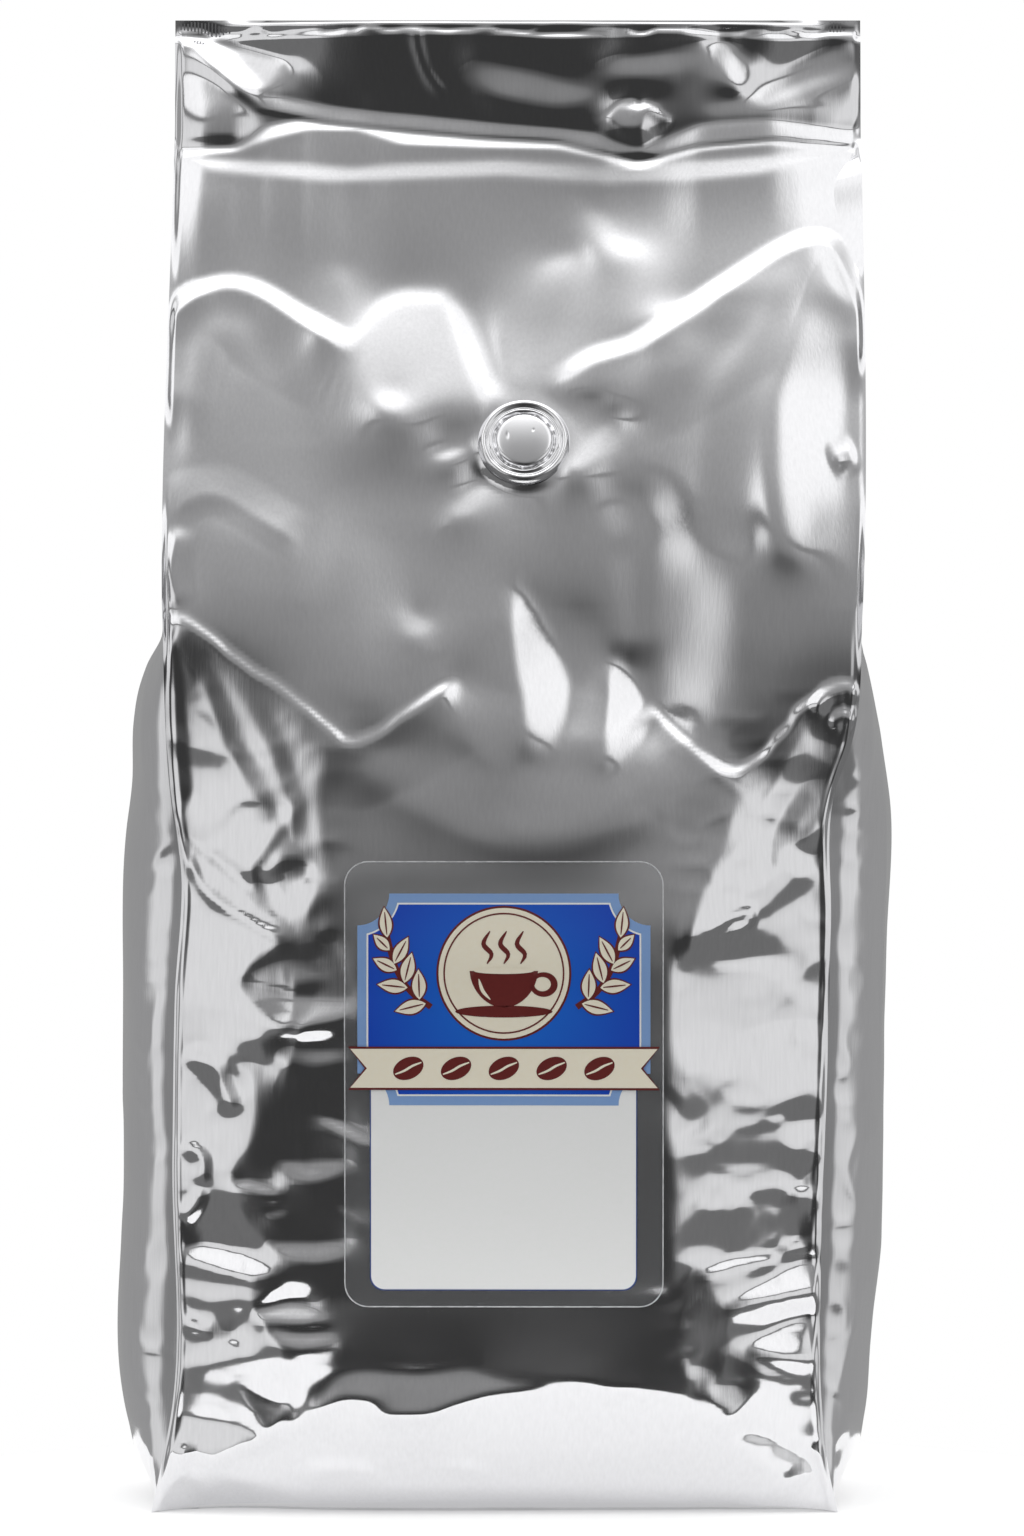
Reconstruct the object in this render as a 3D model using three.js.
// A filled side-gusset coffee bag of metallised film, standing on its folded base, with its
// degassing valve and its clear label. Millimetres, +Z up, the front faces -Y, and the origin is
// the middle of the footprint on the table.
import * as THREE from 'three';

// Driving dimensions of the bag
const HEIGHT = 383; // floor to the top edge
const PANEL_WIDTH = 178; // the flat front panel, a 7 inch film
const GUSSET_HALF = 57; // from a corner fold to the gusset's middle fold
const HEADER_MIDDLE = 3.2; // the head of the bag stands a little right of the base's middle

// Head: the pressed band along the top edge, and the flat part below it
const SEAL_STRIP = 4.2;
const SEAL_THICKNESS = 1.4;
const SEAL_RUN = 1.6; // the head thins over this height into the pressed band
const HEADER_THICKNESS = 4.4;
const HEADER_FOLD = 352; // height of the fold where the head meets the sloping panel
const LEDGE = 8; // height of the step that the fold makes, front and back
const LEDGE_DEPTH = 4.4; // how far the step stands out
const LEDGE_RUN = 12; // the step fades over this height below the fold

// Shoulder: the gussets open fully here, and the sloping panels meet the filling
const SHOULDER = 229;
const SHOULDER_ROUND = 9; // how softly the slope runs into the belly
const LOBE_HEIGHT = 212; // the slope is pressed in below the shoulder at two lobes
const LOBE_REACH = 60; // the lobes fade out this far above and below
const LOBE_CORE = 12;
const LOBE_AT = 0.46; // their place across the half panel
const LOBE_WIDTH = 0.26;
const LOBE_DEPTH = 7;

// Base: the panels curve in over a lip, round a flat that lies a hair above the corners
const BASE_LIP = 30;
const BASE_INSET = 9;
const BASE_RISE = 3.5; // the base's front and back edges lift in the middle
const BASE_RISE_RUN = 26;
const GUSSET_RISE = 1; // and so do the gussets' edges, so the bag stands on its four corners
const BASE_HOLLOW = 0.1; // height of the flat above the corners
const FOOTPRINT_WIDTH = 0.93; // the flat's share of the lowest ring
const FOOTPRINT_DEPTH = 0.86;

// Back seam, folded flat to one side
const SEAM_WIDTH = 11;
const SEAM_THICKNESS = 0.9;
const SEAM_EDGE = 0.35; // how sharp the seam's step is
const SEAM_LEFT = -0.8; // its left edge, from the panel's middle line

// Degassing valve
const VALVE_X = 4.8;
const VALVE_HEIGHT = 271.8;
const VALVE_RADIUS = 11.3;
const VALVE_BEAD = 1.5; // height of the rim
const VALVE_BEAD_WIDTH = 2.1;
const VALVE_GROOVE = 0.7; // height of the film in the groove
const VALVE_CAP_RADIUS = 7.3;
const VALVE_CAP_RISE = 2.0;
const VALVE_SIDES = 48;

// Label
const LABEL_LEFT = -40.5;
const LABEL_RIGHT = 39.8;
const LABEL_BOTTOM = 53;
const LABEL_TOP = 165.3;
const LABEL_CORNER = 6;
const LABEL_THICKNESS = 0.35;

// Free space between the film and what is bonded to it, and the most that the facets cut inwards
const GAP = 0.3;
const FACET_ALLOWANCE = 0.45;

// How finely the film and the label are divided
const FRONT_COLUMNS = 30;
const BACK_COLUMNS = 18;
const GUSSET_COLUMNS = 8;
const RING_STEP = 8.5;
const RING_CLEARANCE = 3.8; // an even ring keeps this far from the rings at the folds
const LABEL_COLUMNS = 12;
const LABEL_ROWS = 10;

// Value at height z of a smooth line through [height, value] stations
const through = (stations) => {
  const heights = stations.map(([height]) => height);
  const values = stations.map(([, value]) => value);
  const line = new THREE.CubicInterpolant(heights, values, 1);
  return (z) => line.evaluate(THREE.MathUtils.clamp(z, heights[0], heights.at(-1)))[0];
};

const ramp = (z, low, high) => THREE.MathUtils.smoothstep(z, low, high);
const lerp = THREE.MathUtils.lerp;

// The four corner folds and the two sides' outlines, from the base up
const leftFold = through([
  [0, -89.8], [10, -87.6], [24, -84.8], [90, -84.2], [130, -83.6], [165, -82.2], [178, -84.2],
  [SHOULDER, -86.6], [HEADER_FOLD, HEADER_MIDDLE - PANEL_WIDTH / 2],
  [HEIGHT, HEADER_MIDDLE - PANEL_WIDTH / 2],
]);
const rightFold = through([
  [0, 84.4], [10, 82.1], [28, 80.1], [60, 79.8], [110, 81.4], [150, 82.4], [182, 83.2], [196, 87.8],
  [SHOULDER, 90.2], [HEADER_FOLD, HEADER_MIDDLE + PANEL_WIDTH / 2],
  [HEIGHT, HEADER_MIDDLE + PANEL_WIDTH / 2],
]);
const leftSide = through([
  [0, -86.5], [8, -93.2], [20, -97.4], [80, -99.0], [130, -98.8], [172, -98.2], [185, -96.6],
  [200, -96.2], [214, -93.6], [SHOULDER, -88.6],
]);
const rightSide = through([
  [0, 81.0], [8, 88.6], [22, 93.2], [40, 95.2], [75, 97.2], [110, 98.0], [145, 98.8], [180, 99.2],
  [196, 97.0], [211, 94.2], [SHOULDER, 90.8],
]);

// Half depth at the corner folds, and how far the panels swell beyond them
const cornerDepth = through([[0, 48], [12, 49.5], [40, 51], [130, 52], [200, 54], [SHOULDER, 56.4]]);
const frontSwell = through([[0, 1], [14, 8], [34, 14], [90, 15.5], [150, 14], [195, 8], [SHOULDER, 2]]);
const backSwell = through([[0, 1], [14, 7], [34, 13], [90, 14.6], [150, 13], [195, 7], [SHOULDER, 2]]);

// Half depth of the sloping upper panels, with the ledge below the head's fold
const slopeDepth = (z) => {
  const head = HEADER_THICKNESS / 2;
  if (z >= HEADER_FOLD + LEDGE) return head;
  const ledge = LEDGE_DEPTH * (1 - ramp(z, HEADER_FOLD - LEDGE_RUN, HEADER_FOLD + LEDGE));
  const slope = (GUSSET_HALF - head - LEDGE_DEPTH) / (HEADER_FOLD - SHOULDER);
  return head + ledge + slope * Math.max(0, HEADER_FOLD - z);
};

// Half depth of the head, thinner in the pressed band
const headDepth = (z) => {
  const pressed = ramp(z, HEIGHT - SEAL_STRIP - SEAL_RUN, HEIGHT - SEAL_STRIP);
  return lerp(HEADER_THICKNESS, SEAL_THICKNESS, pressed) / 2;
};

// Half depth at the corner folds, all the way up
const edgeDepth = (z) => {
  if (z > HEADER_FOLD + LEDGE) return headDepth(z);
  return z > SHOULDER ? slopeDepth(z) : Math.min(slopeDepth(z), cornerDepth(z));
};

// The smaller of two depths, rounded where they cross
const softLess = (a, b) => {
  const blend = Math.max(SHOULDER_ROUND - Math.abs(a - b), 0) / SHOULDER_ROUND;
  return Math.min(a, b) - (blend * blend * SHOULDER_ROUND) / 4;
};

// Half depth of a panel at share t across it, from -1 at the left fold to 1 at the right one.
// The slope reaches lower at the two lobes than in the middle, as the filling pushes out there.
const panelDepth = (t, z, swell) => {
  if (z > HEADER_FOLD + LEDGE) return headDepth(z);
  const lobe = Math.exp(-(((Math.abs(t) - LOBE_AT) / LOBE_WIDTH) ** 2));
  const near = 1 - ramp(Math.abs(z - LOBE_HEIGHT), LOBE_CORE, LOBE_REACH);
  const slope = slopeDepth(z) - LOBE_DEPTH * lobe * near;
  if (z > SHOULDER) return slope;
  return softLess(slope, cornerDepth(z) + swell(z) * (1 - t ** 4) ** 0.8);
};

// Inset and lift of the lip along the base
const lipInset = (t, z) => BASE_INSET * (1 - ramp(z, 0, BASE_LIP)) ** 1.3 * (1 - t ** 6);
const lipLift = (t, z) => BASE_RISE * (1 - t * t) ** 0.7 * (1 - ramp(z, 0, BASE_RISE_RUN));

// Where the gusset's middle fold stands: inside the corner folds above, outside them below
const GUSSET_CLOSING = 16; // height over which the fold runs out to the edge at the head
const GUSSET_TURN = 6; // height over which it turns from out to in at the shoulder
const gussetMiddle = (z, fold, side, outward) => {
  if (z >= HEADER_FOLD) return fold;
  if (z <= SHOULDER) return lerp(side(z), fold, ramp(z, SHOULDER - GUSSET_TURN, SHOULDER));
  const inward = Math.sqrt(Math.max(GUSSET_HALF ** 2 - slopeDepth(z) ** 2, 0));
  return fold - outward * inward * (1 - ramp(z, HEADER_FOLD - GUSSET_CLOSING, HEADER_FOLD));
};

// The points of one gusset, without its two corner folds: rounded below, a sharp V above
const GUSSET_SHARPENING = 20;
const gussetPoints = (z, fold, side, outward) => {
  const middle = gussetMiddle(z, fold, side, outward);
  const folded = ramp(z, SHOULDER - GUSSET_SHARPENING, SHOULDER);
  return Array.from({ length: GUSSET_COLUMNS - 1 }, (_, i) => {
    const share = (2 * (i + 1)) / GUSSET_COLUMNS - 1;
    const round = lerp(1 - share * share, 1 - Math.abs(share), folded);
    const y = outward * share * edgeDepth(z);
    const lift = GUSSET_RISE * (1 - share * share) * (1 - ramp(z, 0, BASE_RISE_RUN));
    return new THREE.Vector3(fold + (middle - fold) * round, y, z + lift);
  });
};

// Places across the back panel from right to left, with the four edges of the seam's steps
const backShares = (width) => {
  const seam = [SEAM_WIDTH, SEAM_WIDTH - SEAM_EDGE, SEAM_EDGE, 0]
    .map((x) => (2 * (x + SEAM_LEFT)) / width);
  const even = Array.from({ length: BACK_COLUMNS + 1 }, (_, i) => 1 - (2 * i) / BACK_COLUMNS)
    .filter((t) => seam.every((edge) => Math.abs(t - edge) > 1 / BACK_COLUMNS));
  const raised = seam.slice(1, 3);
  return [...even, ...seam].sort((a, b) => b - a).map((t) => ({ t, raised: raised.includes(t) }));
};

// One closed ring of the film at height z, counter-clockwise seen from above
const ring = (z) => {
  const left = leftFold(z);
  const right = rightFold(z);
  const panelPoint = (t, sign, swell, extra) => {
    const depth = Math.abs(t) === 1 ? edgeDepth(z) : panelDepth(t, z, swell) - lipInset(t, z);
    return new THREE.Vector3(lerp(left, right, (t + 1) / 2), sign * (depth + extra), z + lipLift(t, z));
  };
  const front = Array.from({ length: FRONT_COLUMNS + 1 }, (_, i) =>
    panelPoint((2 * i) / FRONT_COLUMNS - 1, -1, frontSwell, 0));
  const back = backShares(right - left)
    .map(({ t, raised }) => panelPoint(t, 1, backSwell, raised ? SEAM_THICKNESS : 0));
  return [
    ...front, ...gussetPoints(z, right, rightSide, 1), ...back, ...gussetPoints(z, left, leftSide, -1),
  ];
};

// A closed surface over rings of equal length, with a fan over each end
const loft = (rings, bottom, top) => {
  const size = rings[0].length;
  const position = [...rings.flat(), bottom, top].flatMap((p) => p.toArray());
  const [bottomIndex, topIndex] = [rings.length * size, rings.length * size + 1];
  const last = (rings.length - 1) * size;
  const index = [];
  for (let j = 0; j < size; j++) {
    const next = (j + 1) % size;
    for (let start = 0; start < last; start += size) {
      const [a, b, c, d] = [start + j, start + next, start + size + next, start + size + j];
      index.push(a, b, c, a, c, d);
    }
    index.push(bottomIndex, next, j, topIndex, last + j, last + next);
  }
  const geometry = new THREE.BufferGeometry();
  geometry.setAttribute('position', new THREE.Float32BufferAttribute(position, 3));
  geometry.setIndex(index);
  geometry.computeVertexNormals();
  return geometry;
};

// Ring heights: even steps, with extra rings at the folds and the lip
const ringHeights = () => {
  const folds = [
    0, 2.5, 6, 11, 18, SHOULDER - 4, SHOULDER, SHOULDER + 1.5, SHOULDER + 5,
    HEADER_FOLD - LEDGE_RUN, HEADER_FOLD - 5, HEADER_FOLD, HEADER_FOLD + LEDGE / 2,
    HEADER_FOLD + LEDGE, HEIGHT - SEAL_STRIP - SEAL_RUN, HEIGHT - SEAL_STRIP, HEIGHT,
  ];
  const even = Array.from({ length: Math.floor(HEIGHT / RING_STEP) }, (_, i) => BASE_RISE_RUN + i * RING_STEP)
    .filter((z) => z < HEIGHT && folds.every((fold) => Math.abs(fold - z) > RING_CLEARANCE));
  return [...folds, ...even].sort((a, b) => a - b);
};

const bagGeometry = () => {
  const rings = ringHeights().map(ring);
  const flat = rings[0]
    .map((p) => new THREE.Vector3(p.x * FOOTPRINT_WIDTH, p.y * FOOTPRINT_DEPTH, BASE_HOLLOW));
  const [bottom, top] = [new THREE.Vector3(0, 0, BASE_HOLLOW), new THREE.Vector3(HEADER_MIDDLE, 0, HEIGHT)];
  return loft([flat, ...rings], bottom, top);
};

// A point of the smooth front panel at x and height z
const onFront = (x, z) => {
  const share = (2 * (x - leftFold(z))) / (rightFold(z) - leftFold(z)) - 1;
  return new THREE.Vector3(x, lipInset(share, z) - panelDepth(share, z, frontSwell), z);
};

// How far the round corners draw in the label's edge at height z
const labelInset = (z) => {
  const over = Math.max(LABEL_BOTTOM + LABEL_CORNER - z, z - (LABEL_TOP - LABEL_CORNER), 0);
  return LABEL_CORNER - Math.sqrt(Math.max(LABEL_CORNER ** 2 - over ** 2, 0));
};

// A thin sheet that follows the panel, with close rows at the round corners
const labelGeometry = () => {
  const corner = [0, 0.1, 1 / 3, 2 / 3, 1].map((share) => share * LABEL_CORNER);
  const rows = Array.from({ length: LABEL_ROWS - 1 }, (_, i) => (i + 1) / LABEL_ROWS);
  const heights = [
    ...corner.map((c) => LABEL_BOTTOM + c),
    ...rows.map((share) => lerp(LABEL_BOTTOM, LABEL_TOP, share)),
    ...corner.toReversed().map((c) => LABEL_TOP - c),
  ];
  const row = (z, stand) => Array.from({ length: LABEL_COLUMNS + 1 }, (_, i) => {
    const inset = labelInset(z);
    const point = onFront(lerp(LABEL_LEFT + inset, LABEL_RIGHT - inset, i / LABEL_COLUMNS), z);
    point.y -= GAP + FACET_ALLOWANCE + stand;
    return point;
  });
  const rings = heights.map((z) => [...row(z, LABEL_THICKNESS), ...row(z, 0).toReversed()]);
  const middle = (points) => {
    const sum = points.reduce((total, p) => total.add(p), new THREE.Vector3());
    return sum.divideScalar(points.length);
  };
  return loft(rings, middle(rings[0]), middle(rings.at(-1)));
};

// Rim, groove and raised cap of the valve, turned about its own axis
const valveGeometry = () => {
  const grooveOuter = VALVE_RADIUS - VALVE_BEAD_WIDTH;
  const profile = [
    [0, 0], [VALVE_RADIUS - 0.4, 0], [VALVE_RADIUS, 0.5], [VALVE_RADIUS - 0.5, VALVE_BEAD],
    [grooveOuter + 0.7, VALVE_BEAD], [grooveOuter, VALVE_GROOVE],
    [VALVE_CAP_RADIUS + 0.7, VALVE_GROOVE], [VALVE_CAP_RADIUS, VALVE_CAP_RISE], [0, VALVE_CAP_RISE],
  ];
  return new THREE.LatheGeometry(profile.map(([r, h]) => new THREE.Vector2(r, h)), VALVE_SIDES);
};

// Sits the valve square on the sloping panel
const placeValve = (mesh) => {
  const at = (x, z) => onFront(VALVE_X + x, VALVE_HEIGHT + z);
  const across = at(VALVE_RADIUS, 0).sub(at(-VALVE_RADIUS, 0));
  const up = at(0, VALVE_RADIUS).sub(at(0, -VALVE_RADIUS));
  const outward = across.cross(up).normalize();
  mesh.quaternion.setFromUnitVectors(new THREE.Vector3(0, 1, 0), outward);
  mesh.position.copy(at(0, 0)).addScaledVector(outward, GAP + FACET_ALLOWANCE);
};

const piece = (name, geometry, color, roughness, metalness) => {
  const mesh = new THREE.Mesh(geometry, new THREE.MeshStandardMaterial({ color, roughness, metalness }));
  mesh.name = name;
  return mesh;
};

const coffeeBag = new THREE.Group();
coffeeBag.name = 'coffee_bag';
coffeeBag.add(piece('bag', bagGeometry(), '#c4c5c8', 0.22, 1));
coffeeBag.add(piece('label', labelGeometry(), '#e8ebe8', 0.25, 0));
const valve = piece('valve', valveGeometry(), '#cfd0d2', 0.15, 1);
placeValve(valve);
coffeeBag.add(valve);

export default coffeeBag;
